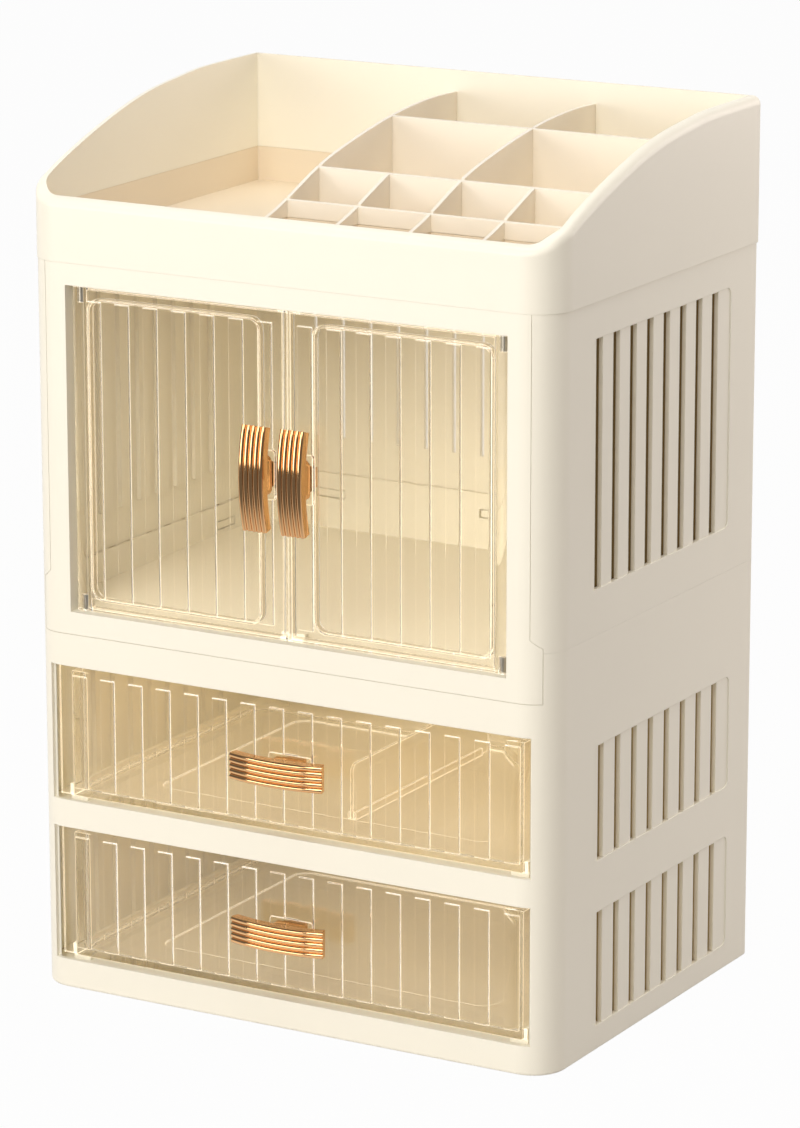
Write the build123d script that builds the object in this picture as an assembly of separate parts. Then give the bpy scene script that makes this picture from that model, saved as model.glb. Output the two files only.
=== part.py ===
from build123d import *
import math
import os

os.makedirs("parts", exist_ok=True)

# Frame: millimetres, +Z up, -Y to the front. The origin is the centre of the base.

# Drawer case
case_width = 300.0
case_depth = 222.0
case_height = 215.3
front_radius = 18.0
back_radius = 4.0
wall = 2.5
base_edge_radius = 1.6
piece_gap = 0.3

# Drawer openings and the decks behind them
drawer_count = 2
sill_height = 15.4
drawer_pitch = 86.1
opening_height = 71.4
opening_side_margin = 10.9
deck_thickness = 2.2
sill_lip = 2.4
underside_rib = 2.4

# Lip of the case that plugs into the cabinet, with its snap windows
side_lip_height = 2.2
back_lip_height = 16.7
lip_thickness = 2.0
lip_front_clear = 14.0
lip_corner_clear = 12.0
snap_width = 18.0
snap_height = 5.0
back_snap_rise = 5.5
back_snap_inset = 49.0
side_snap_drop = 8.8
side_snap_inset = 40.0
hook_depth = 1.4
tab_inset = 1.3
tab_thickness = 1.6
tab_slot = 2.2

# Cabinet
cabinet_height = 166.2
cabinet_floor_thickness = 2.6

# Front frame of the cabinet and its door opening
frame_side_inset = 12.0
frame_foot_inset = 6.5
frame_foot_height = 31.8
frame_step_height = 4.2
frame_foot_drop = 25.3
seam = 0.2
frame_stile = 12.3
cabinet_floor_drop = 13.6
lintel_height = 11.2
jamb_thickness = 2.4
jamb_depth = 15.0
flange_thickness = 2.2

# Louvre grooves in the side walls and vents in the back wall
louvre_pitch = 17.8
louvre_back_margin = 46.0
louvre_recess = 0.6
louvre_depth = 3.6
louvre_skin = 1.4
recess_margin = 4.5
recess_radius = 4.0
cabinet_slot = 7.0
cabinet_slot_first = 49.0
cabinet_slot_low = 23.2
cabinet_slot_height = 124.8
case_slot = 6.0
case_slot_first = 54.0
case_slot_height = 59.4
back_slot = 2.0
back_slot_pitch = 17.1
back_slot_margin = 32.0
back_slot_low = 36.2
back_slot_height = 111.8

# Doors
door_side_gap = 0.8
door_end_gap = 0.8
door_meeting_gap = 1.6
door_setback = 2.5
door_rib_height = 1.2
door_plate = 2.0
door_flange_depth = 4.0
door_flange = 1.6
door_rib_width = 8.2
door_rib_pitch = 16.6
door_rib_first = 11.4
door_rib_end_margin = 7.0
rib_edge_radius = 0.7
border_width = 1.2
border_hinge_margin = 10.0
border_meeting_margin = 13.6
border_end_margin = 6.4
border_radius = 7.0

# Hinge barrel and pins
barrel_radius = 4.5
pin_radius = 1.5
pin_hole_clearance = 0.02
pin_running_clearance = 0.07
pin_depth_in_door = 8.0
pin_bore_spare = 0.3
pin_depth_in_frame = 5.2
pin_boss_radius = 3.4

# Door catches
catch_width = 14.0
catch_depth = 4.2
catch_height = 3.6
catch_peg_radius = 1.5
catch_peg_hole_clearance = 0.05
door_seat_gap = 0.3

# Drawers
drawer_setback = 6.0
drawer_edge_gap = 0.8
drawer_rib_height = 1.2
drawer_plate = 2.0
drawer_rib_width = 8.3
drawer_rib_pitch = 16.75
drawer_rib_side_margin = 8.0
drawer_rib_top_margin = 7.0
drawer_rib_low_margin = 4.0
bin_side_margin = 7.9
bin_length = 180.0
bin_wall = 2.0
bin_floor = 2.4
bin_corner_radius = 11.0
bin_top_drop = 5.0
bin_foot_radius = 3.0
relief_depth = 0.8
relief_width = 196.0
relief_front = 36.0
relief_back_margin = 10.0
relief_radius = 9.0

# Runners in the case that carry and guide the drawers
runner_width = 8.0
runner_rise = 0.1
slide_gap = 0.3
guide_width = 2.0
guide_height = 6.0
side_gap = 0.5
runner_back_margin = 8.0

# Partition that stands in the upper drawer
partition_place = 17.2
partition_thickness = 1.8
partition_front = 38.0
partition_height = 29.0
partition_rail = 1.2
partition_rail_height = 4.0

# Pull handles: a bowed ribbed bar on a post
grip_length = 54.0
grip_rib_count = 5
grip_rib_pitch = 2.8
grip_rib_radius = 1.55
grip_core = 4.2
grip_bow_radius = 96.0
grip_front_reach = 12.4
post_length = 20.0
post_width = 7.6
post_edge_radius = 3.4
pad_length = 25.0
pad_width = 11.0
pad_rise = 1.6
pad_edge_radius = 1.5
door_handle_place = 11.0
door_handle_height = 84.6
drawer_handle_height = 36.0

# Tongue of a handle and the clip that holds it behind the panel
tongue_length = 10.0
tongue_thickness = 2.4
tongue_reach = 6.0
tongue_room = 0.2
clip_fit = 0.05
clip_plate = 1.0
clip_length = 13.0
clip_width = 6.6
clip_leg = 4.6
clip_leg_thickness = 1.1

# Tray
tray_overhang = 0.8
rim_front_height = 32.0
tray_height = 75.0
tray_wall = 5.4
tray_skin = 2.2
tray_inner_skin = 1.8
rim_thickness = 3.0
rim_radius = 4.4
rim_inner_radius = 0.8
rim_points = ((9.0, 4.0), (16.0, 7.8), (24.0, 11.3), (43.0, 18.6), (64.0, 25.5), (90.0, 32.8),
              (117.0, 38.2), (147.0, 41.4))
rim_front_flat = 2.5
rim_back_flat = 190.0
pan_wall_height = 25.0
pan_floor_rise = 4.5
pan_floor = 2.2
pan_flange_height = 2.5
pan_seam = 0.05
pan_lip_depth = 4.0
pan_lip_front_inset = 6.2

# Divider grid in the tray, measured from the left wall and the front
divider = 2.0
grid_gap = 0.2
long_dividers = (125.5, 207.0)
short_dividers = (166.0, 247.8)
cross_walls = (46.7, 77.6, 150.6)
grid_front = 21.0
grid_front_height = 1.4
grid_points = ((46.7, 9.0), (77.6, 20.6), (110.0, 28.6), (150.6, 35.7))
grid_back_height = 38.4

# Worked out from the sizes above
front = -case_depth / 2
half_case = case_width / 2
half_opening = half_case - opening_side_margin
frame_half_width = half_case - frame_side_inset
frame_foot_half_width = half_case - frame_foot_inset
cabinet_top = case_height + cabinet_height
cabinet_floor = case_height - cabinet_floor_drop
lintel_z = cabinet_top - lintel_height
lip_outer = wall + piece_gap
lip_inner = lip_outer + lip_thickness
rebate_outer = wall + piece_gap
rebate_inner = rebate_outer + flange_thickness
half_door_opening = frame_half_width - frame_stile
pin_x = half_door_opening - door_side_gap - barrel_radius
pin_y = front + door_setback + barrel_radius
door_low = cabinet_floor + door_end_gap
door_high = lintel_z - door_end_gap
door_plate_front = front + door_setback + door_rib_height
door_plate_back = door_plate_front + door_plate
door_back = door_plate_back + door_flange_depth
catch_front = door_back + door_seat_gap
drawer_plate_front = front + drawer_setback + drawer_rib_height
drawer_plate_back = drawer_plate_front + drawer_plate
bin_back = drawer_plate_back + bin_length
half_bin = half_opening - bin_side_margin
runner_front = drawer_plate_back + slide_gap
relief_back = bin_back - relief_back_margin
tray_top = cabinet_top + tray_height
pan_top = cabinet_top + pan_wall_height
pan_floor_top = cabinet_top + pan_floor_rise + pan_floor
tray_inner_half = half_case + tray_overhang - tray_wall
tray_inner_back = -front + tray_overhang - tray_wall
louvre_count = 1 + int((case_depth - cabinet_slot_first - louvre_back_margin) / louvre_pitch)
back_slot_count = 1 + int((case_width - 2 * back_slot_margin) / back_slot_pitch)
door_rib_count = 1 + int((pin_x - barrel_radius - door_rib_width / 2 - door_rib_first) / door_rib_pitch)
drawer_rib_room = 2 * (half_opening - drawer_edge_gap - drawer_rib_side_margin) - drawer_rib_width
drawer_rib_count = 1 + int(drawer_rib_room / drawer_rib_pitch)
back_snap_places = (back_snap_inset - half_case, 0.0, half_case - back_snap_inset)
side_snap_places = (front + side_snap_inset, -front - side_snap_inset)


def deck_z(level):
    """Top of the deck under a drawer, counted from the lowest."""
    return sill_z(level) - sill_lip


def sill_z(level):
    return sill_height + level * drawer_pitch


def runner_z(level):
    return sill_z(level) + runner_rise


def block(x_low, x_high, y_low, y_high, z_low, z_high):
    """Box between two corners."""
    size = (x_high - x_low, y_high - y_low, z_high - z_low)
    return Pos(x_low, y_low, z_low) * Box(*size, align=(Align.MIN, Align.MIN, Align.MIN))


def both_sides(solid):
    """The solid and its mirror image across the middle of the width."""
    return solid + mirror(solid, Plane.YZ)


def upright(x, y, radius, z_low, z_high):
    """Vertical cylinder."""
    bottom = (Align.CENTER, Align.CENTER, Align.MIN)
    return Pos(x, y, z_low) * Cylinder(radius, z_high - z_low, align=bottom)


def round_uprights(solid, y_place, radius):
    """Round the vertical edges that stand at one depth."""
    edges = [e for e in solid.edges().filter_by(Axis.Z) if abs(e.center().Y - y_place) < 0.01]
    return fillet(edges, radius)


def plan_prism(inset, z_low, z_high, overhang=0.0, front_inset=None):
    """Upright prism on the plan outline of the case, moved in or out."""
    half = half_case + overhang - inset
    y_low = front + (inset if front_inset is None else front_inset)
    y_high = -front + overhang - inset
    prism = block(-half, half, y_low, y_high, z_low, z_high)
    prism = round_uprights(prism, y_low, max(front_radius + overhang - inset, 1.0))
    return round_uprights(prism, y_high, max(back_radius + overhang - inset, 0.8))


def plan_ring(outer, inner, z_low, z_high, overhang=0.0):
    """Wall between two insets of the plan outline."""
    core = plan_prism(inner, z_low - 1, z_high + 1, overhang)
    return plan_prism(outer, z_low, z_high, overhang) - core


def front_frame_outline(gap):
    """Prism through the front corner of the case with the frame's front outline."""
    half = frame_half_width + gap
    foot = frame_foot_half_width + gap
    foot_z = case_height - frame_foot_drop - gap
    step_z = foot_z + gap + frame_foot_height - frame_step_height
    top = cabinet_top + gap
    right = [(foot, foot_z), (foot, step_z), (half, step_z + frame_step_height), (half, top)]
    left = [(-x, z) for x, z in reversed(right)]
    face = Plane.XZ * make_face(Polyline(*right, *left, close=True))
    deep = front_radius
    return Pos(0, front - 1, 0) * extrude(face, -(deep + 1))


def louvre_spans(slot, first):
    """Y spans of one row of grooves, from front to back."""
    middles = [front + first + i * louvre_pitch for i in range(louvre_count)]
    return [(middle - slot / 2, middle + slot / 2) for middle in middles]


def louvre_backs(slot, first, z_low, height):
    """Ribs inside both side walls that keep them closed behind the grooves."""
    x_span = (half_case - louvre_depth - louvre_skin, half_case - wall / 2)
    z_span = (z_low - louvre_skin, z_low + height + louvre_skin)
    spans = louvre_spans(slot, first)
    ribs = [block(*x_span, y_low - louvre_skin, y_high + louvre_skin, *z_span) for y_low, y_high in spans]
    return both_sides(Part() + ribs)


def side_louvres(slot, first, z_low, height):
    """Cutter for both sides: a shallow recess and the grooves in it."""
    spans = louvre_spans(slot, first)
    y_low, y_high = spans[0][0] - recess_margin, spans[-1][1] + 3 * recess_margin
    recess = block(half_case - louvre_recess, half_case + 1, y_low, y_high, z_low, z_low + height)
    cutter = fillet(recess.edges().filter_by(Axis.X), recess_radius)
    for span in spans:
        cutter += block(half_case - louvre_depth, half_case + 1, *span, z_low, z_low + height)
    return both_sides(cutter)


def back_louvres():
    """Narrow vents through the back wall of the cabinet."""
    z_low = case_height + back_slot_low
    slots = []
    for i in range(back_slot_count):
        x = (i - (back_slot_count - 1) / 2) * back_slot_pitch
        x_span = (x - back_slot / 2, x + back_slot / 2)
        slots.append(block(*x_span, -front - wall - 1, -front + 1, z_low, z_low + back_slot_height))
    return slots


def back_snaps(width, height, outer, inner):
    """Blocks at the snap places of the back wall, between two insets."""
    z_low = case_height + back_snap_rise - height / 2
    y_span = (-front - inner, -front - outer)
    return [block(x - width / 2, x + width / 2, *y_span, z_low, z_low + height) for x in back_snap_places]


def side_snaps(width, z_low, z_high, outer, inner):
    """Blocks at the snap places of both side walls, between two insets."""
    x_span = (half_case - inner, half_case - outer)
    spans = [(y - width / 2, y + width / 2) for y in side_snap_places]
    return [both_sides(block(*x_span, *y_span, z_low, z_high)) for y_span in spans]


def make_runner(level):
    """Runner and guide on both sides of one drawer."""
    y_span = (runner_front, -front - wall - runner_back_margin)
    low = deck_z(level) - deck_thickness / 2
    guide_in = half_bin + side_gap
    runner = block(guide_in - runner_width, guide_in, *y_span, low, runner_z(level))
    guide_top = runner_z(level) + guide_height
    guide = block(guide_in, guide_in + guide_width, *y_span, low, guide_top)
    return both_sides(runner + guide)


def make_drawer_case():
    """Outer walls, decks, runners and the lip that enters the cabinet."""
    case = plan_prism(0, 0, case_height)
    case = fillet(case.faces().sort_by(Axis.Z)[0].edges(), base_edge_radius)
    case -= plan_prism(wall, -1, case_height + 1)
    frame_room = front_frame_outline(seam) & plan_ring(-1, rebate_outer, 0, cabinet_top)
    case -= frame_room
    for level in range(drawer_count):
        top = deck_z(level)
        case += plan_prism(wall / 2, top - deck_thickness, top)
        case += make_runner(level)
        opening = (sill_z(level), sill_z(level) + opening_height)
        case -= block(-half_opening, half_opening, front - 1, front + wall + 1, *opening)
    rib = underside_rib / 2
    rib_top = deck_z(0) - deck_thickness / 2
    case += block(-rib, rib, front + wall / 2, -front - wall / 2, 0, rib_top)
    case += block(wall / 2 - half_case, half_case - wall / 2, -rib, rib, 0, rib_top)
    case += make_cabinet_floor()
    case += make_lip()
    for room in snap_rooms():
        case -= room
    for level in range(drawer_count):
        row = (case_slot, case_slot_first, deck_z(level) + seam, case_slot_height)
        case += louvre_backs(*row)
        case -= side_louvres(*row)
    return case


def make_cabinet_floor():
    """Floor of the cabinet, stepped down at the front to take the door frame."""
    under = cabinet_floor - cabinet_floor_thickness
    bend = (-half_case, half_case, front - 1, front + front_radius)
    floor = plan_prism(rebate_outer, under, cabinet_floor)
    floor += plan_ring(wall / 2, rebate_inner, under, cabinet_floor) - block(*bend, 0, case_height)
    foot = under - 2 * frame_step_height
    floor += plan_ring(rebate_outer, rebate_inner, foot, case_height) & block(*bend, 0, case_height)
    joint = plan_ring(wall / 2, rebate_inner, foot, under + 1)
    floor += joint & block(*bend, 0, case_height - frame_foot_drop - seam)
    half = half_door_opening + jamb_thickness + piece_gap
    step_back = front + jamb_depth + piece_gap
    ledge_top = cabinet_floor - jamb_thickness - piece_gap
    ledge_low = ledge_top - cabinet_floor_thickness
    out = half + cabinet_floor_thickness
    back = step_back + cabinet_floor_thickness
    floor += block(-out, out, front + rebate_outer, back, ledge_low, cabinet_floor)
    floor -= block(-half, half, front - 1, step_back, ledge_top, cabinet_top)
    hinge_room = pin_boss_radius + piece_gap
    floor -= both_sides(upright(pin_x, pin_y, hinge_room, ledge_low - 1, ledge_top + 1))
    return floor


def make_lip():
    """Ring round the sides and back that plugs into the cabinet shell."""
    under = cabinet_floor - cabinet_floor_thickness
    lip = plan_ring(wall / 2, lip_inner, under, case_height)
    lip += plan_ring(lip_outer, lip_inner, under, case_height + side_lip_height)
    back = plan_ring(lip_outer, lip_inner, under, case_height + back_lip_height)
    back_reach = half_case - lip_corner_clear
    lip += back & block(-back_reach, back_reach, -front - lip_corner_clear, -front, 0, cabinet_top)
    reach = front + lip_front_clear
    return lip - block(-half_case, half_case, front - 1, reach, under - 1, cabinet_top)


def snap_rooms():
    """Windows in the back lip, and slots with windows in the side walls."""
    rooms = back_snaps(snap_width, snap_height, lip_outer - 1, lip_inner + 1)
    window_low = case_height - side_snap_drop - snap_height / 2
    rooms += side_snaps(snap_width, window_low, window_low + snap_height, tab_inset, lip_inner + 1)
    slot_top = case_height + side_lip_height + 1
    rooms += side_snaps(snap_width, window_low, slot_top, tab_inset, tab_inset + tab_slot)
    return rooms


def snap_hooks():
    """Hooks on the back wall of the cabinet, and tabs that hang from its side walls."""
    hook_width = snap_width - 4 * piece_gap
    hook_height = snap_height - 4 * piece_gap
    hooks = back_snaps(hook_width, hook_height, wall / 2, wall + hook_depth)
    tab_out = tab_inset + seam
    tab_in = tab_out + tab_thickness
    nose_low = case_height - side_snap_drop - hook_height / 2
    hooks += side_snaps(hook_width, nose_low, case_height + wall, tab_out, tab_in)
    hooks += side_snaps(hook_width, nose_low, nose_low + hook_height, tab_out, tab_in + hook_depth)
    return hooks


def make_cabinet_shell():
    """Side and back walls of the cabinet, with the flange behind the front frame."""
    shell = plan_ring(0, wall, case_height, cabinet_top)
    inner = half_door_opening + jamb_thickness + piece_gap
    outer = frame_half_width + 3 * seam + flange_thickness
    flange = plan_ring(0, rebate_inner, case_height, cabinet_top)
    flange &= both_sides(block(inner, outer, front, front + front_radius, case_height, cabinet_top))
    shell -= block(-inner, inner, front - 1, front + front_radius, case_height - 1, cabinet_top + 1)
    shell += flange
    shell -= front_frame_outline(seam) & plan_ring(-1, rebate_outer, 0, cabinet_top + 1)
    for hook in snap_hooks():
        shell += hook
    row = (cabinet_slot, cabinet_slot_first, case_height + cabinet_slot_low, cabinet_slot_height)
    shell += louvre_backs(*row)
    shell -= side_louvres(*row)
    for slot in back_louvres():
        shell -= slot
    return shell


def make_front_frame():
    """Face round the doors, with jambs, hinge bosses and a foot over the drawer case."""
    frame = front_frame_outline(0) & plan_ring(0, wall, 0, cabinet_top)
    half = half_door_opening
    out = half + jamb_thickness
    depth = front + jamb_depth
    top = lintel_z + jamb_thickness
    frame += block(-out, out, front + wall / 2, depth, cabinet_floor - jamb_thickness, top)
    for z_low, z_high in hinge_boss_spans():
        frame += both_sides(upright(pin_x, pin_y, pin_boss_radius, z_low, z_high))
    frame -= block(-half, half, front - 1, depth + 1, cabinet_floor, lintel_z)
    low, high = cabinet_floor - 2 * pin_depth_in_frame, lintel_z + 2 * pin_depth_in_frame
    frame -= both_sides(upright(pin_x, pin_y, pin_radius + pin_hole_clearance, low, high))
    peg_hole = catch_peg_radius + catch_peg_hole_clearance
    return frame - upright(0, catch_front + catch_depth / 2, peg_hole, low, high)


def hinge_boss_spans():
    """Heights of the lower and upper hinge boss."""
    lower = (cabinet_floor - pin_depth_in_frame, cabinet_floor - jamb_thickness / 2)
    upper = (lintel_z + jamb_thickness / 2, lintel_z + pin_depth_in_frame)
    return lower, upper


def make_hinge_pins(side):
    """Lower and upper pin of one door."""
    length = pin_depth_in_frame + door_end_gap + pin_depth_in_door
    low = cabinet_floor - pin_depth_in_frame
    high = lintel_z + pin_depth_in_frame
    lower = upright(side * pin_x, pin_y, pin_radius, low, low + length)
    return lower + upright(side * pin_x, pin_y, pin_radius, high - length, high)


def make_catch(at_top):
    """Small block that the doors close against, with a peg into the frame."""
    edge = lintel_z if at_top else cabinet_floor
    into_opening = -1 if at_top else 1
    spans = sorted((edge, edge + into_opening * catch_height))
    body = block(-catch_width / 2, catch_width / 2, catch_front, catch_front + catch_depth, *spans)
    body = fillet(body.edges().filter_by(Axis.Z), catch_depth / 4)
    peg = sorted((edge + into_opening, edge - into_opening * jamb_thickness))
    return body + upright(0, catch_front + catch_depth / 2, catch_peg_radius, *peg)


def make_handle(seat_y, panel_back):
    """Bowed ribbed bar on a post with a tongue. Its length lies along X, its middle at Z = 0."""
    bar_front = front - grip_front_reach + grip_rib_radius / 2
    bar_back = front - grip_front_reach + grip_core + grip_rib_radius / 2
    half = grip_rib_count * grip_rib_pitch / 2
    edges = Polyline((bar_front, half), (bar_back, half), (bar_back, -half), (bar_front, -half)).edges()
    for i in range(grip_rib_count):
        z = -half + i * grip_rib_pitch
        edges += RadiusArc((bar_front, z), (bar_front, z + grip_rib_pitch), grip_rib_radius).edges()
    section = Plane.YZ * make_face(Wire(edges))
    bow = Axis((0, bar_front + grip_bow_radius, 0), (0, 0, 1))
    turn = math.degrees(grip_length / grip_bow_radius)
    bar = section.rotate(bow, -turn / 2)
    bar = revolve(bar, bow, turn)
    post_back = bar_front + grip_core / 2
    post = block(-post_length / 2, post_length / 2, post_back, seat_y, -post_width / 2, post_width / 2)
    post = fillet(post.edges().filter_by(Axis.Y), post_edge_radius)
    return bar + post + tongue(0, seat_y - post_edge_radius, panel_back + tongue_reach)


def tongue(room, y_low, y_high):
    """Flat bar through the panel, or the slot for it with some room all round."""
    half_length = tongue_length / 2 + room
    half_thickness = tongue_thickness / 2 + room
    return block(-half_length, half_length, y_low, y_high, -half_thickness, half_thickness)


def make_clip(panel_back):
    """Plate with two legs, pushed over the tongue behind the panel."""
    back = panel_back + clip_plate
    plate = block(-clip_length / 2, clip_length / 2, panel_back, back, -clip_width / 2, clip_width / 2)
    clip = fillet(plate.edges().filter_by(Axis.Y), clip_plate)
    leg_in = tongue_thickness / 2 + clip_fit
    leg_span = (leg_in, leg_in + clip_leg_thickness)
    leg = block(-tongue_length / 2, tongue_length / 2, panel_back, back + clip_leg, *leg_span)
    clip += leg + mirror(leg, Plane.XY)
    return clip - tongue(clip_fit, front, front + front_radius * 2)


def handle_pad(panel_front):
    """Raised pad on a panel that carries the post, lying along X at Z = 0."""
    seat_y = panel_front - pad_rise
    pad = block(-pad_length / 2, pad_length / 2, seat_y, panel_front + 1, -pad_width / 2, pad_width / 2)
    return fillet(pad.edges().filter_by(Axis.Y), pad_edge_radius)


def make_door():
    """Right door: fluted plate, flanges, border, hinge barrel and handle pad."""
    edge = door_meeting_gap / 2
    span = (door_low, door_high)
    door = block(edge, pin_x, door_plate_front, door_plate_back, *span)
    rim = block(edge, pin_x, door_plate_front, door_back, *span)
    rim -= block(edge + door_flange, pin_x + 1, front, front + front_radius,
                 door_low + door_flange, door_high - door_flange)
    door += rim
    door += upright(pin_x, pin_y, barrel_radius, *span)
    for i in range(door_rib_count):
        x = door_rib_first + i * door_rib_pitch
        margin = door_rib_end_margin
        rib = block(x - door_rib_width / 2, x + door_rib_width / 2, front + door_setback,
                    door_plate_front + door_plate / 2, door_low + margin, door_high - margin)
        door += fillet(rib.edges().filter_by(Axis.Z).sort_by(Axis.Y)[:2], rib_edge_radius)
    door += make_door_border()
    handle_place = Pos(door_handle_place, 0, cabinet_floor + door_handle_height) * Rot(0, 90, 0)
    door += handle_place * handle_pad(door_plate_front)
    door -= handle_place * tongue(tongue_room, front - 1, door_back)
    bore = pin_radius + pin_running_clearance
    depth = pin_depth_in_door + pin_bore_spare
    door -= upright(pin_x, pin_y, bore, door_low - 1, door_low + depth)
    return door - upright(pin_x, pin_y, bore, door_high - depth, door_high + 1)


def make_door_border():
    """Rounded rectangular bead on the back of the door."""
    outer_edge = half_door_opening - border_hinge_margin
    z_span = (cabinet_floor + border_end_margin, lintel_z - border_end_margin)
    y_span = (door_plate_back - door_plate / 2, door_back)
    bead = block(border_meeting_margin + border_width, outer_edge, *y_span, *z_span)
    bead = fillet(bead.edges().filter_by(Axis.Y), border_radius)
    core = block(border_meeting_margin + 2 * border_width, outer_edge - border_width,
                 y_span[0] - 1, y_span[1] + 1, z_span[0] + border_width, z_span[1] - border_width)
    return bead - fillet(core.edges().filter_by(Axis.Y), border_radius - border_width)


def make_drawer(level):
    """Fluted front panel and the bin behind it, in one moulding."""
    low = sill_z(level) + drawer_edge_gap
    high = sill_z(level) + opening_height - drawer_edge_gap
    half_panel = half_opening - drawer_edge_gap
    panel = block(-half_panel, half_panel, drawer_plate_front, drawer_plate_back, low, high)
    drawer = panel + make_bin(level)
    rib_span = (low + drawer_rib_low_margin, high - drawer_rib_top_margin + drawer_edge_gap)
    for i in range(drawer_rib_count):
        x = (i - (drawer_rib_count - 1) / 2) * drawer_rib_pitch
        rib = block(x - drawer_rib_width / 2, x + drawer_rib_width / 2, front + drawer_setback,
                    drawer_plate_front + drawer_plate / 2, *rib_span)
        drawer += fillet(rib.edges().filter_by(Axis.Z).sort_by(Axis.Y)[:2], rib_edge_radius)
    handle_place = Pos(0, 0, sill_z(level) + drawer_handle_height)
    drawer += handle_place * handle_pad(drawer_plate_front)
    return drawer - handle_place * tongue(tongue_room, front - 1, drawer_plate_back + 1)


def make_bin(level):
    """Open bin with rounded corners and a sunk rectangle in its floor."""
    bottom = runner_z(level) + slide_gap
    top = sill_z(level) + opening_height - bin_top_drop
    body = block(-half_bin, half_bin, drawer_plate_front, bin_back, bottom, top)
    body = fillet(body.edges().filter_by(Axis.Z).sort_by(Axis.Y)[-2:], bin_corner_radius)
    inner = half_bin - bin_wall
    hollow = block(-inner, inner, drawer_plate_back, bin_back - bin_wall, bottom + bin_floor, top + 1)
    hollow = fillet(hollow.edges().filter_by(Axis.Z), bin_corner_radius - bin_wall)
    hollow = fillet(hollow.faces().sort_by(Axis.Z)[0].edges(), bin_foot_radius)
    relief = block(-relief_width / 2, relief_width / 2, front + relief_front, relief_back,
                   bottom + bin_floor - relief_depth, bottom + bin_floor + 1)
    relief = fillet(relief.edges().filter_by(Axis.Z), relief_radius)
    return body - hollow - relief


def partition_floor():
    """Height of the floor that the partition stands on."""
    return runner_z(drawer_count - 1) + slide_gap + bin_floor - relief_depth


def make_partition_rails():
    """Two low rails on the floor of the upper drawer that hold the partition."""
    half = partition_thickness / 2 + seam
    y_span = (front + partition_front, relief_back - relief_radius)
    z_span = (partition_floor() - relief_depth, partition_floor() + partition_rail_height)
    places = (partition_place - half - partition_rail, partition_place + half)
    return [block(x, x + partition_rail, *y_span, *z_span) for x in places]


def make_partition():
    """Upright plate that divides the upper drawer from front to back."""
    half = partition_thickness / 2
    plate = block(partition_place - half, partition_place + half, front + partition_front,
                  relief_back - seam, partition_floor(), partition_floor() + partition_height)
    top = plate.edges().filter_by(Axis.X).sort_by(Axis.Z)[-2:]
    return fillet(top, partition_rail_height)


def rim_profile():
    """Prism under the top line of the tray's side walls."""
    start = front + rim_front_flat
    rise = cabinet_top + rim_front_height
    points = [(start, rise)] + [(front + y, rise + z) for y, z in rim_points]
    points.append((front + rim_back_flat, tray_top))
    curve = Spline(*points, tangents=((1, 0), (1, 0)))
    near, far, under = front - 5, -front + 5, cabinet_top - 1
    rest = Polyline(points[-1], (far, tray_top), (far, under), (near, under), (near, rise), points[0])
    face = Plane.YZ * make_face(Wire(curve.edges() + rest.edges()))
    return extrude(face, half_case + 5, both=True)


def make_tray_surround():
    """Double-skinned upper wall of the tray with its rolled rim."""
    profile = rim_profile()
    body = plan_prism(0, cabinet_top, tray_top + 1, tray_overhang) & profile
    rim_edges = body.edges().filter_by(lambda e: e.center().Z > cabinet_top + 1 and not is_upright(e))
    body = fillet(rim_edges, rim_radius)
    body -= tray_hollow(cabinet_top - 1, tray_top + 1)
    groove = plan_ring(tray_skin, tray_wall - tray_inner_skin, cabinet_top - 1, tray_top, tray_overhang)
    body -= groove & (Pos(0, 0, -rim_thickness) * profile)
    return body - plan_prism(tray_skin, cabinet_top - 1, pan_top + pan_seam, tray_overhang)


def is_upright(edge):
    return abs(edge.tangent_at(0.5).Z) > 0.99


def tray_hollow(z_low, z_high):
    """Inside of the tray between its inner faces."""
    return plan_prism(tray_wall, z_low, z_high, tray_overhang)


def make_tray_pan():
    """Floor of the tray with its low walls, and the lip that enters the cabinet."""
    low = (cabinet_top, cabinet_top + pan_flange_height)
    pan = plan_ring(tray_wall - tray_inner_skin, tray_wall, cabinet_top, pan_top, tray_overhang)
    pan += plan_ring(tray_skin + piece_gap, tray_wall, *low, tray_overhang)
    pan += tray_hollow(pan_floor_top - pan_floor, pan_floor_top)
    pan += make_pan_lip()
    into_wall = tray_inner_skin / 2
    for plate in grid_walls(pan_floor_top - pan_floor / 2, pan_top, front + tray_wall / 2, into_wall):
        pan += plate
    return pan


def make_pan_lip():
    """Ring under the pan that enters the top of the cabinet."""
    outer = tray_overhang + wall + piece_gap
    inner = outer + tray_inner_skin
    z_low = cabinet_top - pan_lip_depth
    lip = plan_prism(outer, z_low, cabinet_top + 1, tray_overhang, pan_lip_front_inset)
    core_front = pan_lip_front_inset + tray_inner_skin
    return lip - plan_prism(inner, z_low - 1, tray_top, tray_overhang, core_front)


def grid_walls(z_low, z_high, y_front, past_wall):
    """Plates on the lines of the divider grid, ending past the tray's inner faces or short of them."""
    right_end = tray_inner_half + past_wall
    back_end = tray_inner_back + past_wall
    short_end = front + cross_walls[1] + divider / 2
    cross_start = long_dividers[0] - divider / 2 - half_case
    lengthwise = [(x, back_end) for x in long_dividers] + [(x, short_end) for x in short_dividers]
    plates = []
    for x, y_end in lengthwise:
        x_low = x - divider / 2 - half_case
        plates.append(block(x_low, x_low + divider, y_front, y_end, z_low, z_high))
    for y in cross_walls:
        y_low = front + y - divider / 2
        plates.append(block(cross_start, right_end, y_low, y_low + divider, z_low, z_high))
    return plates


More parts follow.
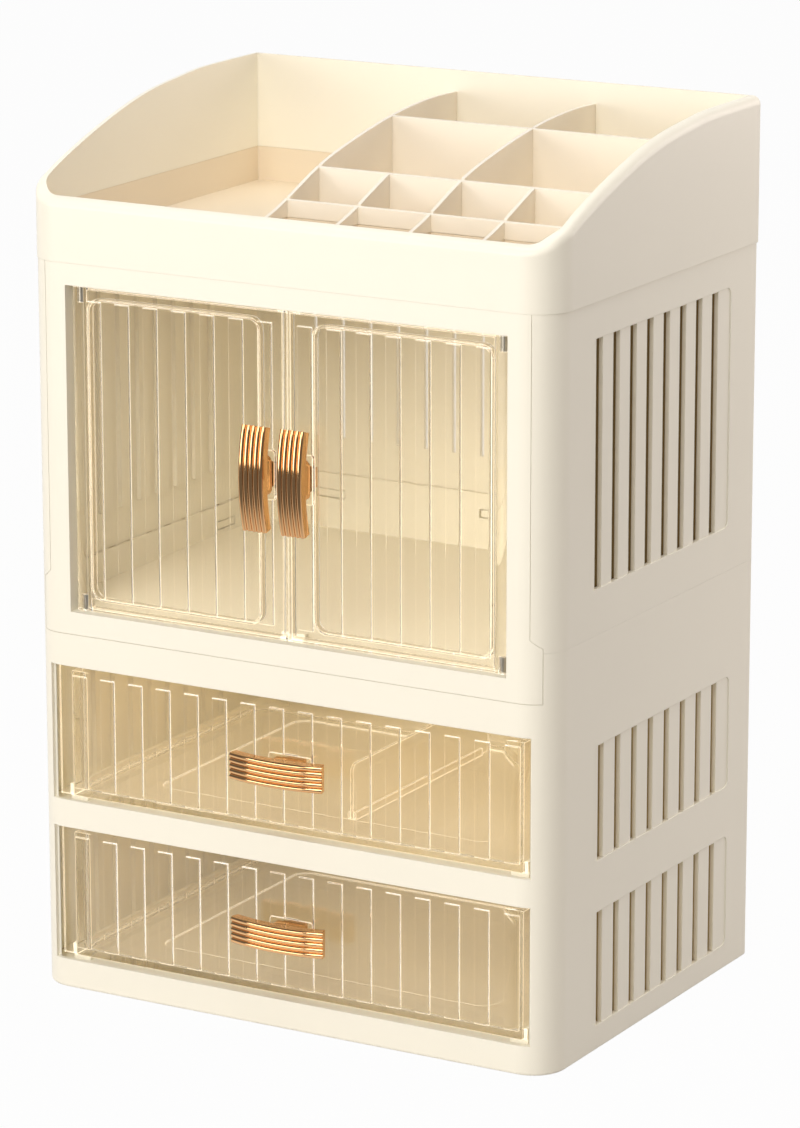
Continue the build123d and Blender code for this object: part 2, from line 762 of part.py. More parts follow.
def make_divider_grid():
    """Upper divider grid whose top follows the rim in a rising curve."""
    low = pan_top + grid_gap
    points = [(front + grid_front, low + grid_front_height)]
    points += [(front + y, pan_top + z) for y, z in grid_points]
    points.append((-front, pan_top + grid_back_height))
    curve = Spline(*points)
    base = low - 1
    rest = Polyline(points[-1], (-front, base), (points[0][0], base), points[0])
    face = Plane.YZ * make_face(Wire(curve.edges() + rest.edges()))
    plates = grid_walls(low, tray_top, front + grid_front, -grid_gap)
    grid = plates[0].fuse(*plates[1:]) & extrude(face, half_case, both=True)
    tops = dict(grid_points)
    for y in cross_walls:
        y_span = (front + y - divider, front + y + divider)
        grid -= block(-half_case, half_case, *y_span, pan_top + tops[y], tray_top)
    return grid


def save(name, solid):
    solid.label = name
    export_step(solid, f"parts/{name}.step")


def main():
    """Build every piece in its place and write one file for each."""
    save("drawer_case", make_drawer_case())
    save("cabinet_shell", make_cabinet_shell())
    save("cabinet_front_frame", make_front_frame())
    save("tray_surround", make_tray_surround())
    save("tray_pan", make_tray_pan())
    save("divider_grid", make_divider_grid())
    right_door = make_door()
    save("right_door", right_door)
    save("left_door", mirror(right_door, Plane.YZ))
    save("left_hinge_pins", make_hinge_pins(-1))
    save("right_hinge_pins", make_hinge_pins(1))
    save("door_catch_top", make_catch(True))
    save("door_catch_bottom", make_catch(False))
    for level, name in enumerate(("lower_drawer", "upper_drawer")):
        drawer = make_drawer(level)
        if level == drawer_count - 1:
            for rail in make_partition_rails():
                drawer += rail
        save(name, drawer)
    save("drawer_partition", make_partition())
    save_handles()


def save_handles():
    """Four handles with their clips, standing on the doors and lying on the drawers."""
    door_seat = door_plate_front - pad_rise
    drawer_seat = drawer_plate_front - pad_rise
    door_handle = Rot(0, 90, 0) * make_handle(door_seat, door_plate_back)
    door_clip = Rot(0, 90, 0) * make_clip(door_plate_back)
    for side, name in ((-1, "left_door"), (1, "right_door")):
        place = Pos(side * door_handle_place, 0, cabinet_floor + door_handle_height)
        save(f"{name}_handle", place * door_handle)
        save(f"{name}_handle_clip", place * door_clip)
    drawer_handle = make_handle(drawer_seat, drawer_plate_back)
    drawer_clip = make_clip(drawer_plate_back)
    for level, name in enumerate(("lower_drawer", "upper_drawer")):
        place = Pos(0, 0, sill_z(level) + drawer_handle_height)
        save(f"{name}_handle", place * drawer_handle)
        save(f"{name}_handle_clip", place * drawer_clip)


main()
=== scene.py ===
"""Looks of a makeup organizer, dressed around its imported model.

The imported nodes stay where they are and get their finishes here. The pull handles are built again
with a finer ribbed bar. All lengths are in metres, in the model's own frame: +Z up, -Y to the front.
"""

import logging
import math
from dataclasses import dataclass, field
from enum import Enum

import bmesh
import bpy
from mathutils import Matrix, Vector


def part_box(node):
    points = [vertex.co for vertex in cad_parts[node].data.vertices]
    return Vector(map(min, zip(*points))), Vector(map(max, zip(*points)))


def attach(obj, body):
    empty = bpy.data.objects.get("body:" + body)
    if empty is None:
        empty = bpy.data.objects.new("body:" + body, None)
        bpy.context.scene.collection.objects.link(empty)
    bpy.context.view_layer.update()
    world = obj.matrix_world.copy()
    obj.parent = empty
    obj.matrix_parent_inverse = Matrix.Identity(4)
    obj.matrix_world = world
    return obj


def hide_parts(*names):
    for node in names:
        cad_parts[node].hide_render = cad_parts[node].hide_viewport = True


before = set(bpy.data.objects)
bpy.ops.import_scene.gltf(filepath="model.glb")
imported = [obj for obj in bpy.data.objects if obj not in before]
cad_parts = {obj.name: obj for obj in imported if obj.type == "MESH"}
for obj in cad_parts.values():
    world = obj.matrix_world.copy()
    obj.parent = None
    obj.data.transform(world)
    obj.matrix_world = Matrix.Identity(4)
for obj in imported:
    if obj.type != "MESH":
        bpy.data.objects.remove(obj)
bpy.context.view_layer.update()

Colour = tuple[float, float, float]
Point = tuple[float, float, float]

log = logging.getLogger("organizer")


def srgb(red: int, green: int, blue: int) -> Colour:
    """Linear colour of a screen colour given in steps of 255.

    Args:
        red: Red, 0 to 255.
        green: Green, 0 to 255.
        blue: Blue, 0 to 255.

    Returns:
        The three linear values.
    """
    def linear(step: int) -> float:
        """One channel, made linear."""
        share = step / 255
        return share / 12.92 if share <= 0.04045 else ((share + 0.055) / 1.055) ** 2.4

    return linear(red), linear(green), linear(blue)


class Wiring:
    """Adds nodes to one tree and joins their sockets."""

    def __init__(self, tree: bpy.types.NodeTree) -> None:
        """Keeps the tree that the nodes go into."""
        self.tree = tree

    def node(self, kind: str, **settings: object) -> bpy.types.Node:
        """Adds a node.

        Args:
            kind: Blender's name of the node type.
            settings: Properties to set on it.

        Returns:
            The new node.
        """
        made = self.tree.nodes.new(kind)
        for name, value in settings.items():
            setattr(made, name, value)
        return made

    def feed(self, target: bpy.types.NodeSocket, value: object) -> None:
        """Joins a socket to the target, or writes a plain value on it.

        Args:
            target: Input socket.
            value: An output socket, a number or a tuple.
        """
        if isinstance(value, bpy.types.NodeSocket):
            self.tree.links.new(value, target)
        else:
            target.default_value = value

    def maths(self, operation: str, *values: object) -> bpy.types.NodeSocket:
        """One step of arithmetic.

        Args:
            operation: Blender's name of the operation.
            values: Sockets or numbers, in order.

        Returns:
            The result's socket.
        """
        step = self.node("ShaderNodeMath", operation=operation)
        for place, value in enumerate(values):
            self.feed(step.inputs[place], value)
        return step.outputs[0]

    def ramp(self, value: object, start: object, end: object, first: float,
             last: float) -> bpy.types.NodeSocket:
        """Soft change from one level to another while a value goes from start to end.

        Args:
            value: Socket that drives the change.
            start: Value or socket at which the change starts.
            end: Value or socket at which it ends.
            first: Level before the start.
            last: Level after the end.

        Returns:
            The level's socket.
        """
        step = self.node("ShaderNodeMapRange", interpolation_type="SMOOTHSTEP")
        inputs = {"Value": value, "From Min": start, "From Max": end, "To Min": first, "To Max": last}
        for name, given in inputs.items():
            self.feed(step.inputs[name], given)
        return step.outputs[0]

    def bump(self, height: bpy.types.NodeSocket, strength: float) -> bpy.types.Node:
        """Bump from a height in metres.

        Args:
            height: Socket of the height.
            strength: Share of the height that shows.

        Returns:
            The bump node.
        """
        step = self.node("ShaderNodeBump")
        self.feed(step.inputs["Strength"], strength)
        self.feed(step.inputs["Distance"], 1.0)
        self.feed(step.inputs["Height"], height)
        return step


def group_socket(tree: bpy.types.NodeTree, name: str, kind: str,
                 is_input: bool = True) -> bpy.types.NodeTreeInterfaceSocket:
    """Adds a named socket to a node group.

    Args:
        tree: The group's tree.
        name: Name of the socket.
        kind: Short type, such as Float or Color.
        is_input: True for an input.

    Returns:
        The interface socket.
    """
    way = "INPUT" if is_input else "OUTPUT"
    return tree.interface.new_socket(name, in_out=way, socket_type=f"NodeSocket{kind}")


class SharedEffects:
    """Shader node groups that several finishes use, each built once."""

    SKIN = "moulded_skin"
    EDGES = "edge_glint"
    GROOVES = "groove_shade"
    GLINT_STARTS = 0.998
    GLINT_FULL = 0.94
    SHADE_BLUR = 0.0004

    @classmethod
    def moulded_skin(cls) -> bpy.types.NodeTree:
        """Slow change of tone, change of gloss and fine grain of a moulded surface.

        Returns:
            The group, with Colour, Roughness and Height outputs.
        """
        if cls.SKIN in bpy.data.node_groups:
            return bpy.data.node_groups[cls.SKIN]
        tree = bpy.data.node_groups.new(cls.SKIN, "ShaderNodeTree")
        group_socket(tree, "Colour", "Color")
        for name in ("Tone Size", "Tone Depth", "Grain Size", "Grain Depth", "Roughness", "Gloss Change"):
            group_socket(tree, name, "Float")
        group_socket(tree, "Colour", "Color", is_input=False)
        group_socket(tree, "Roughness", "Float", is_input=False)
        group_socket(tree, "Height", "Float", is_input=False)
        wiring = Wiring(tree)
        given = wiring.node("NodeGroupInput").outputs
        result = wiring.node("NodeGroupOutput").inputs
        place = wiring.node("ShaderNodeTexCoord").outputs["Object"]

        def noise(size: bpy.types.NodeSocket, detail: float) -> bpy.types.NodeSocket:
            """Noise from -1 to 1 whose blotches have the given size."""
            cloud = wiring.node("ShaderNodeTexNoise")
            wiring.feed(cloud.inputs["Vector"], place)
            wiring.feed(cloud.inputs["Scale"], wiring.maths("DIVIDE", 1.0, size))
            wiring.feed(cloud.inputs["Detail"], detail)
            return wiring.maths("MULTIPLY_ADD", cloud.outputs["Fac"], 2.0, -1.0)

        tone = noise(given["Tone Size"], 2.0)
        grain = noise(given["Grain Size"], 1.0)
        shade = wiring.maths("MULTIPLY_ADD", tone, given["Tone Depth"], 1.0)
        tinted = wiring.node("ShaderNodeVectorMath", operation="SCALE")
        wiring.feed(tinted.inputs[0], given["Colour"])
        wiring.feed(tinted.inputs["Scale"], shade)
        wiring.feed(result["Colour"], tinted.outputs[0])
        gloss = wiring.maths("MULTIPLY_ADD", tone, given["Gloss Change"], given["Roughness"])
        wiring.feed(result["Roughness"], gloss)
        wiring.feed(result["Height"], wiring.maths("MULTIPLY", grain, given["Grain Depth"]))
        return tree


    @classmethod
    def edge_glint(cls) -> bpy.types.NodeTree:
        """Painted highlight: a thin emitted line along every edge of a clear moulding, standing in for
        light that the edges catch.

        Returns:
            The group, with a Glint output.
        """
        if cls.EDGES in bpy.data.node_groups:
            return bpy.data.node_groups[cls.EDGES]
        tree = bpy.data.node_groups.new(cls.EDGES, "ShaderNodeTree")
        group_socket(tree, "Line Colour", "Color")
        group_socket(tree, "Line Width", "Float")
        group_socket(tree, "Glint", "Color", is_input=False)
        wiring = Wiring(tree)
        given = wiring.node("NodeGroupInput").outputs
        rounded = wiring.node("ShaderNodeBevel", samples=6)
        wiring.feed(rounded.inputs["Radius"], given["Line Width"])
        likeness = wiring.node("ShaderNodeVectorMath", operation="DOT_PRODUCT")
        wiring.feed(likeness.inputs[0], rounded.outputs[0])
        wiring.feed(likeness.inputs[1], wiring.node("ShaderNodeNewGeometry").outputs["Normal"])
        share = wiring.ramp(likeness.outputs["Value"], cls.GLINT_STARTS, cls.GLINT_FULL, 0.0, 1.0)
        line = wiring.node("ShaderNodeVectorMath", operation="SCALE")
        wiring.feed(line.inputs[0], given["Line Colour"])
        wiring.feed(line.inputs["Scale"], share)
        wiring.feed(wiring.node("NodeGroupOutput").inputs["Glint"], line.outputs[0])
        return tree

    @classmethod
    def groove_shade(cls) -> bpy.types.NodeTree:
        """Painted shade on the deep part of the upright louvre grooves in both side walls.

        Returns:
            The group, with a Colour output.
        """
        if cls.GROOVES in bpy.data.node_groups:
            return bpy.data.node_groups[cls.GROOVES]
        tree = bpy.data.node_groups.new(cls.GROOVES, "ShaderNodeTree")
        group_socket(tree, "Colour", "Color")
        group_socket(tree, "Shade", "Color")
        for name in ("Half Case", "First", "Pitch", "Half Width", "Shade Starts", "Shade Ends"):
            group_socket(tree, name, "Float")
        group_socket(tree, "Colour", "Color", is_input=False)
        wiring = Wiring(tree)
        maths = wiring.maths
        given = wiring.node("NodeGroupInput").outputs
        result = wiring.node("NodeGroupOutput").inputs
        apart = wiring.node("ShaderNodeSeparateXYZ")
        wiring.feed(apart.inputs[0], wiring.node("ShaderNodeTexCoord").outputs["Object"])
        depth = maths("SUBTRACT", given["Half Case"], maths("ABSOLUTE", apart.outputs["X"]))
        half_pitch = maths("MULTIPLY", given["Pitch"], 0.5)
        from_middle = maths("PINGPONG", maths("SUBTRACT", apart.outputs["Y"], given["First"]), half_pitch)
        in_groove = maths("LESS_THAN", from_middle, given["Half Width"])
        full = maths("ADD", given["Shade Starts"], cls.SHADE_BLUR)
        deep = wiring.ramp(depth, given["Shade Starts"], full, 0.0, 1.0)
        not_inside = maths("LESS_THAN", depth, given["Shade Ends"])
        share = maths("MULTIPLY", in_groove, maths("MULTIPLY", deep, not_inside))
        shaded = wiring.node("ShaderNodeMixRGB", blend_type="MULTIPLY")
        wiring.feed(shaded.inputs["Fac"], share)
        wiring.feed(shaded.inputs["Color1"], given["Colour"])
        wiring.feed(shaded.inputs["Color2"], given["Shade"])
        wiring.feed(result["Colour"], shaded.outputs[0])
        return tree


@dataclass(frozen=True)
class Grooves:
    """Row of upright grooves in the side walls, whose deep part gets a painted shade in the wall's colour.
    """

    first: float
    half_width: float
    shade: Colour
    pitch: float = 0.0178
    half_case: float = 0.150
    shade_starts: float = 0.0026
    shade_ends: float = 0.0038
    overlap: float = 0.0003

    def place(self, wiring: Wiring, colour: bpy.types.NodeSocket) -> bpy.types.NodeSocket:
        """Adds the shared group with this row's values.

        Args:
            wiring: The material's wiring.
            colour: Colour of the wall.

        Returns:
            The colour with the grooves shaded.
        """
        group = wiring.node("ShaderNodeGroup", node_tree=SharedEffects.groove_shade())
        values = {"Colour": colour, "Shade": (*self.shade, 1.0), "Half Case": self.half_case,
                  "First": self.first, "Pitch": self.pitch, "Half Width": self.half_width + self.overlap,
                  "Shade Starts": self.shade_starts, "Shade Ends": self.shade_ends}
        for name, value in values.items():
            wiring.feed(group.inputs[name], value)
        return group.outputs["Colour"]


@dataclass(frozen=True)
class Skin:
    """How alive a surface is: its blotches, its grain and its gloss.

    Sizes are in metres, the tone depth is a share of the colour, and the grain depth is in metres.
    """

    roughness: float
    gloss_change: float = 0.03
    tone_size: float = 0.06
    tone_depth: float = 0.012
    grain_size: float = 0.0007
    grain_depth: float = 0.000006

    def place(self, wiring: Wiring, colour: Colour) -> bpy.types.Node:
        """Adds the shared group with this skin's values.

        Args:
            wiring: The material's wiring.
            colour: The finish's own colour.

        Returns:
            The group node.
        """
        group = wiring.node("ShaderNodeGroup", node_tree=SharedEffects.moulded_skin())
        values = {"Colour": (*colour, 1.0), "Tone Size": self.tone_size, "Tone Depth": self.tone_depth,
                  "Grain Size": self.grain_size, "Grain Depth": self.grain_depth,
                  "Roughness": self.roughness, "Gloss Change": self.gloss_change}
        for name, value in values.items():
            wiring.feed(group.inputs[name], value)
        return group


def blank_material(name: str) -> tuple[bpy.types.Material, Wiring, bpy.types.Node, bpy.types.Node]:
    """A material with one Principled shader on its output.

    Args:
        name: Name of the material.

    Returns:
        The material, its wiring, its shader and its output node.
    """
    material = bpy.data.materials.new(name)
    material.use_nodes = True
    material.node_tree.nodes.clear()
    wiring = Wiring(material.node_tree)
    shader = wiring.node("ShaderNodeBsdfPrincipled")
    output = wiring.node("ShaderNodeOutputMaterial")
    wiring.feed(output.inputs["Surface"], shader.outputs["BSDF"])
    return material, wiring, shader, output


@dataclass(frozen=True)
class SatinPlastic:
    """Opaque moulding with a soft satin skin and edges that catch the light."""

    name: str
    colour: Colour
    skin: Skin = Skin(roughness=0.36)
    edge_radius: float = 0.0005
    coat: float = 0.08
    coat_roughness: float = 0.2
    refraction: float = 1.46
    bump_strength: float = 0.6
    grooves: Grooves | None = None

    def material(self) -> bpy.types.Material:
        """Builds the material.

        Returns:
            The finished material.
        """
        material, wiring, shader, _ = blank_material(self.name)
        skin = self.skin.place(wiring, self.colour)
        soft_edge = wiring.node("ShaderNodeBevel", samples=4)
        wiring.feed(soft_edge.inputs["Radius"], self.edge_radius)
        bump = wiring.bump(skin.outputs["Height"], self.bump_strength)
        wiring.feed(bump.inputs["Normal"], soft_edge.outputs[0])
        colour = skin.outputs["Colour"]
        # Painted shade: the deep part of the side grooves is darkened in the base colour.
        if self.grooves:
            colour = self.grooves.place(wiring, colour)
        wiring.feed(shader.inputs["Base Color"], colour)
        wiring.feed(shader.inputs["Roughness"], skin.outputs["Roughness"])
        wiring.feed(shader.inputs["Normal"], bump.outputs[0])
        wiring.feed(shader.inputs["Coat Weight"], self.coat)
        wiring.feed(shader.inputs["Coat Roughness"], self.coat_roughness)
        wiring.feed(shader.inputs["IOR"], self.refraction)
        return material


@dataclass(frozen=True)
class ClearPlastic:
    """Tinted see-through moulding that lets the lamps reach what is behind it.

    A ray that has bounced more often than the depth limit goes straight through, so that walls seen
    edge on do not trap it and turn dark.
    """

    name: str
    colour: Colour
    skin: Skin = Skin(roughness=0.03, gloss_change=0.01, tone_depth=0.02, grain_size=0.014,
                      grain_depth=0.00001)
    refraction: float = 1.46
    # Colour of the painted edge highlight, given off as emission.
    edge_light: Colour = (0.62, 0.56, 0.46)
    edge_width: float = 0.0007
    clearness: float = 0.97
    lamp_tint: float = 0.25
    depth_limit: float = 3.5
    bump_strength: float = 0.5

    def material(self) -> bpy.types.Material:
        """Builds the material.

        Returns:
            The finished material.
        """
        material, wiring, shader, output = blank_material(self.name)
        skin = self.skin.place(wiring, self.colour)
        wiring.feed(shader.inputs["Base Color"], skin.outputs["Colour"])
        wiring.feed(shader.inputs["Roughness"], skin.outputs["Roughness"])
        wiring.feed(shader.inputs["Metallic"], 0.0)
        wiring.feed(shader.inputs["Transmission Weight"], self.clearness)
        wiring.feed(shader.inputs["IOR"], self.refraction)
        bump = wiring.bump(skin.outputs["Height"], self.bump_strength)
        wiring.feed(shader.inputs["Normal"], bump.outputs[0])
        # Painted highlight: emission draws a light line along every edge.
        glint = wiring.node("ShaderNodeGroup", node_tree=SharedEffects.edge_glint())
        wiring.feed(glint.inputs["Line Colour"], (*self.edge_light, 1.0))
        wiring.feed(glint.inputs["Line Width"], self.edge_width)
        wiring.feed(shader.inputs["Emission Color"], glint.outputs["Glint"])
        wiring.feed(shader.inputs["Emission Strength"], 1.0)
        path = wiring.node("ShaderNodeLightPath").outputs
        too_deep = wiring.maths("GREATER_THAN", path["Ray Depth"], self.depth_limit)
        straight = wiring.maths("MAXIMUM", path["Is Shadow Ray"], too_deep)
        through = wiring.node("ShaderNodeBsdfTransparent")
        pale = (channel ** self.lamp_tint for channel in self.colour)
        wiring.feed(through.inputs["Color"], (*pale, 1.0))
        either = wiring.node("ShaderNodeMixShader")
        wiring.feed(either.inputs[0], straight)
        wiring.feed(either.inputs[1], shader.outputs["BSDF"])
        wiring.feed(either.inputs[2], through.outputs[0])
        wiring.feed(output.inputs["Surface"], either.outputs[0])
        return material


@dataclass(frozen=True)
class PlatedPlastic:
    """Mirror-bright copper-gold plating on a moulded handle."""

    name: str
    colour: Colour
    skin: Skin = Skin(roughness=0.10, gloss_change=0.03, tone_depth=0.04, tone_size=0.012,
                      grain_size=0.0011, grain_depth=0.000004)
    bump_strength: float = 0.6

    def material(self) -> bpy.types.Material:
        """Builds the material.

        Returns:
            The finished material.
        """
        material, wiring, shader, _ = blank_material(self.name)
        skin = self.skin.place(wiring, self.colour)
        bump = wiring.bump(skin.outputs["Height"], self.bump_strength)
        wiring.feed(shader.inputs["Base Color"], skin.outputs["Colour"])
        wiring.feed(shader.inputs["Roughness"], skin.outputs["Roughness"])
        wiring.feed(shader.inputs["Normal"], bump.outputs[0])
        wiring.feed(shader.inputs["Metallic"], 1.0)
        return material


CREAM_COLOUR = srgb(252, 248, 233)


class Finish(Enum):
    """The finishes of the organizer."""

    CREAM = SatinPlastic("cream_plastic", CREAM_COLOUR)
    # These two carry painted shade in the deep part of their side grooves.
    CABINET = SatinPlastic("cream_plastic_upper", CREAM_COLOUR,
                           grooves=Grooves(first=-0.062, half_width=0.0035, shade=(0.30, 0.22, 0.10)))
    CASE = SatinPlastic("cream_plastic_lower", CREAM_COLOUR,
                        grooves=Grooves(first=-0.057, half_width=0.003, shade=(0.50, 0.40, 0.22)))
    # A little darker than the cream of the walls above it.
    PAN_DARKER = SatinPlastic("tan_plastic", srgb(242, 229, 206))
    GRID = SatinPlastic("grid_cream_plastic", srgb(250, 243, 228))
    CLEAR = ClearPlastic("amber_see_through_plastic", srgb(251, 246, 236))
    COPPER = PlatedPlastic("copper_plating", srgb(229, 180, 128))
    STEEL = PlatedPlastic("drawn_steel", srgb(190, 188, 184), Skin(roughness=0.3))

    def material(self) -> bpy.types.Material:
        """The finish's material, built once."""
        return bpy.data.materials.get(self.value.name) or self.value.material()


def dress(node: str, finish: Finish) -> None:
    """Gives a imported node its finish.

    Args:
        node: Name of the node.
        finish: The finish to use.
    """
    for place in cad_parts[node].material_slots:
        place.material = finish.material()
    log.info("%s: %s", node, finish.value.name)


@dataclass
class Housing:
    """The opaque mouldings: case, cabinet and tray."""

    cream: tuple[str, ...] = ("cabinet_front_frame", "tray_surround", "door_catch_top", "door_catch_bottom")
    pins: tuple[str, ...] = ("left_hinge_pins", "right_hinge_pins")

    def build(self) -> None:
        """Dresses every node of the housing."""
        for node in self.cream:
            dress(node, Finish.CREAM)
        for node in self.pins:
            dress(node, Finish.STEEL)
        dress("drawer_case", Finish.CASE)
        dress("cabinet_shell", Finish.CABINET)
        dress("tray_pan", Finish.PAN_DARKER)
        dress("divider_grid", Finish.GRID)


@dataclass
class ClearFronts:
    """The see-through doors, drawers and partition."""

    nodes: tuple[str, ...] = ("left_door", "right_door", "lower_drawer", "upper_drawer", "drawer_partition")

    def build(self) -> None:
        """Dresses every clear node."""
        for node in self.nodes:
            dress(node, Finish.CLEAR)


@dataclass
class PullHandle:
    """Bowed bar with lengthwise ribs, on a post with a tongue through the panel."""

    body: str
    upright: bool
    rib_count: int = 5
    rib_pitch: float = 0.0028
    rib_radius: float = 0.00155
    core_depth: float = 0.0042
    bow_radius: float = 0.096
    length: float = 0.054
    post_length: float = 0.020
    post_width: float = 0.0076
    post_corner: float = 0.0034
    post_flare: float = 0.0007
    pad_rise: float = 0.0016
    panel: float = 0.002
    tongue_length: float = 0.010
    tongue_thickness: float = 0.0024
    tongue_reach: float = 0.006
    end_rounding: float = 0.00035
    tongue_rounding: float = 0.0003

    TREE = "ribbed_bar"
    ARC_POINTS = 45
    SECTION_POINTS = 208
    FRONT_SHARE = 0.98

    @classmethod
    def bar_tree(cls) -> bpy.types.NodeTree:
        """Node tree that sweeps a scalloped section along an arc.

        Returns:
            The tree, with named inputs for the sizes.
        """
        if cls.TREE in bpy.data.node_groups:
            return bpy.data.node_groups[cls.TREE]
        tree = bpy.data.node_groups.new(cls.TREE, "GeometryNodeTree")
        for name in ("Length", "Bow Radius", "Rib Pitch", "Rib Radius", "Core Depth", "Rib Count"):
            group_socket(tree, name, "Float")
        group_socket(tree, "Finish", "Material")
        group_socket(tree, "Geometry", "Geometry", is_input=False)
        wiring = Wiring(tree)
        given = wiring.node("NodeGroupInput").outputs
        maths = wiring.maths
        sweep = maths("DIVIDE", given["Length"], given["Bow Radius"])
        half_depth = maths("MULTIPLY", given["Core Depth"], 0.5)
        arc = wiring.node("GeometryNodeCurveArc")
        wiring.feed(arc.inputs["Resolution"], cls.ARC_POINTS)
        wiring.feed(arc.inputs["Radius"], maths("SUBTRACT", given["Bow Radius"], half_depth))
        wiring.feed(arc.inputs["Start Angle"], maths("MULTIPLY_ADD", sweep, -0.5, -math.pi / 2))
        wiring.feed(arc.inputs["Sweep Angle"], sweep)
        outline = wiring.node("GeometryNodeCurvePrimitiveQuadrilateral")
        width = maths("MULTIPLY", given["Rib Count"], given["Rib Pitch"])
        wiring.feed(outline.inputs["Width"], given["Core Depth"])
        wiring.feed(outline.inputs["Height"], width)
        fine = wiring.node("GeometryNodeResampleCurve")
        wiring.feed(fine.inputs["Curve"], outline.outputs[0])
        wiring.feed(fine.inputs["Count"], cls.SECTION_POINTS)
        apart = wiring.node("ShaderNodeSeparateXYZ")
        wiring.feed(apart.inputs[0], wiring.node("GeometryNodeInputPosition").outputs[0])
        along = maths("MULTIPLY_ADD", width, 0.5, apart.outputs["Y"])
        half_pitch = maths("MULTIPLY", given["Rib Pitch"], 0.5)
        from_crest = maths("SUBTRACT", half_pitch, maths("PINGPONG", along, half_pitch))

        def circle_height(offset: bpy.types.NodeSocket) -> bpy.types.NodeSocket:
            """Height of the rib's circle over its centre at an offset."""
            radius_squared = maths("POWER", given["Rib Radius"], 2.0)
            return maths("SQRT", maths("SUBTRACT", radius_squared, maths("POWER", offset, 2.0)))

        rise = maths("SUBTRACT", circle_height(from_crest), circle_height(half_pitch))
        front = maths("MULTIPLY", half_depth, cls.FRONT_SHARE)
        on_front = maths("GREATER_THAN", apart.outputs["X"], front)
        shift = wiring.node("ShaderNodeCombineXYZ")
        wiring.feed(shift.inputs["X"], maths("MULTIPLY", rise, on_front))
        ribbed = wiring.node("GeometryNodeSetPosition")
        wiring.feed(ribbed.inputs["Geometry"], fine.outputs[0])
        wiring.feed(ribbed.inputs["Offset"], shift.outputs[0])
        bar = wiring.node("GeometryNodeCurveToMesh")
        wiring.feed(bar.inputs["Curve"], arc.outputs[0])
        wiring.feed(bar.inputs["Profile Curve"], ribbed.outputs[0])
        wiring.feed(bar.inputs["Fill Caps"], True)
        real = wiring.node("GeometryNodeRealizeInstances")
        wiring.feed(real.inputs[0], bar.outputs[0])
        coated = wiring.node("GeometryNodeSetMaterial")
        wiring.feed(coated.inputs["Geometry"], real.outputs[0])
        wiring.feed(coated.inputs["Material"], given["Finish"])
        wiring.feed(wiring.node("NodeGroupOutput").inputs[0], coated.outputs[0])
        return tree

    def bar_mesh(self, finish: bpy.types.Material) -> bpy.types.Mesh:
        """The bar, with its arc's centre at the origin and its front towards -Y.

        Args:
            finish: Material of the bar.

        Returns:
            A plain mesh.
        """
        values = {"Length": self.length, "Bow Radius": self.bow_radius, "Rib Pitch": self.rib_pitch,
                  "Rib Radius": self.rib_radius, "Core Depth": self.core_depth,
                  "Rib Count": float(self.rib_count), "Finish": finish}
        return grown_mesh(self.bar_tree(), values)

    def build(self) -> bpy.types.Object:
        """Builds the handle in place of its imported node.

        Returns:
            The finished piece.
        """
        node = f"{self.body}_handle"
        low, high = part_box(node)
        centre = (low + high) / 2
        finish = Finish.COPPER.material()
        rib_rise = self.rib_radius - math.sqrt(self.rib_radius ** 2 - (self.rib_pitch / 2) ** 2)
        bar_front = low.y + rib_rise
        seat = high.y - self.tongue_reach - self.panel - self.pad_rise
        made = bmesh.new()
        bar = self.bar_mesh(finish)
        bar.transform(Matrix.Translation((0, bar_front + self.bow_radius, 0)))
        made.from_mesh(bar)
        caps = [f for f in made.faces if len(f.verts) > 8]
        rim = list({edge for cap in caps for edge in cap.edges})
        bmesh.ops.bevel(made, geom=rim, offset=self.end_rounding, segments=2, affect="EDGES",
                        clamp_overlap=True)
        self.add_post(made, bar_front + self.core_depth / 2, seat)
        self.add_tongue(made, seat - self.post_corner, high.y)
        for face in made.faces:
            face.smooth = True
        turn = Matrix.Rotation(math.radians(90), 4, "Y") if self.upright else Matrix.Identity(4)
        made.transform(Matrix.Translation((centre.x, 0, centre.z)) @ turn)
        return finish_piece(made, f"{self.body}_pull", self.body, finish, node)

    def add_post(self, made: bmesh.types.BMesh, front: float, seat: float) -> None:
        """Adds the rounded post, flared where it meets the bar.

        Args:
            made: Mesh to add to.
            front: Depth of its front end, inside the bar.
            seat: Depth of its seat on the panel.
        """
        bar_back = front + self.core_depth / 2
        flare = self.post_flare
        steps = ((front, flare), (bar_back, flare), (bar_back + 0.0005, 0.4 * flare),
                 (bar_back + 0.0014, 0.0), (seat - 0.0005, 0.0), (seat, 0.0002))
        half_length, half_width = self.post_length / 2, self.post_width / 2
        loft(made, [rounded_loop(half_length + grow, half_width + grow, self.post_corner + grow, depth)
                    for depth, grow in steps])

    def add_tongue(self, made: bmesh.types.BMesh, front: float, back: float) -> None:
        """Adds the flat tongue that goes through the panel.

        Args:
            made: Mesh to add to.
            front: Depth of its front end, inside the post.
            back: Depth of its back end.
        """
        half_length, half_thickness = self.tongue_length / 2, self.tongue_thickness / 2
        rounding = self.tongue_rounding
        loops = [rounded_loop(half_length - cut, half_thickness - cut, rounding, depth)
                 for depth, cut in ((front, 0.0), (back - rounding, 0.0), (back, rounding))]
        loft(made, loops)


CORNER_STEPS = 6
SHARP_ANGLE = 38


def rounded_loop(half_length: float, half_width: float, corner: float, depth: float) -> list[Vector]:
    """Points of a rounded rectangle that faces -Y.

    Args:
        half_length: Half its size along X.
        half_width: Half its size along Z.
        corner: Radius of its corners.
        depth: Its Y.

    Returns:
        The points in order.
    """
    corner = min(corner, half_width * 0.999, half_length * 0.999)
    points = []
    for quarter in range(4):
        across = half_length - corner if quarter in (0, 3) else corner - half_length
        up = half_width - corner if quarter in (0, 1) else corner - half_width
        for step in range(CORNER_STEPS + 1):
            angle = math.pi / 2 * (quarter + step / CORNER_STEPS)
            x, z = across + corner * math.cos(angle), up + corner * math.sin(angle)
            points.append(Vector((x, depth, z)))
    return points


